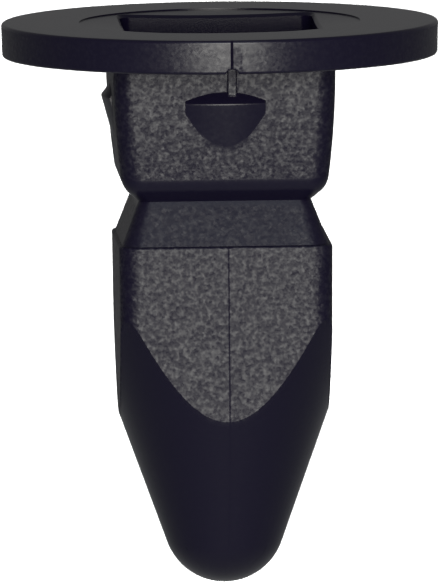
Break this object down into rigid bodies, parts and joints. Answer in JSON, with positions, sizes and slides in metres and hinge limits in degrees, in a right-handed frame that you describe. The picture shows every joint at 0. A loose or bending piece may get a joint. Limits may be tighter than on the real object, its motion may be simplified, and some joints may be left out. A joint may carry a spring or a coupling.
{
  "type": "expansion nut",
  "caption": "Moulded nylon expansion nut: a round flange over a square barbed shank with a waisted neck and a closed conical tip, for a self-tapping screw in a square panel hole.",
  "frame": {"origin": "on the axis, at the underside of the flange, where the face of the panel comes", "axes": "+Z along the axis, out of the panel and out of the mouth of the pocket; -Y looks to the front face with the parting rib, and -X to the side face that has a lug"},
  "size_m": [0.018, 0.018, 0.0233],
  "materials": {
    "black_nylon": "fine spark-eroded grain, low sheen"
  },
  "bodies": {
    "root": {"expansion_nut": "black_nylon"}
  },
  "joints": []
}
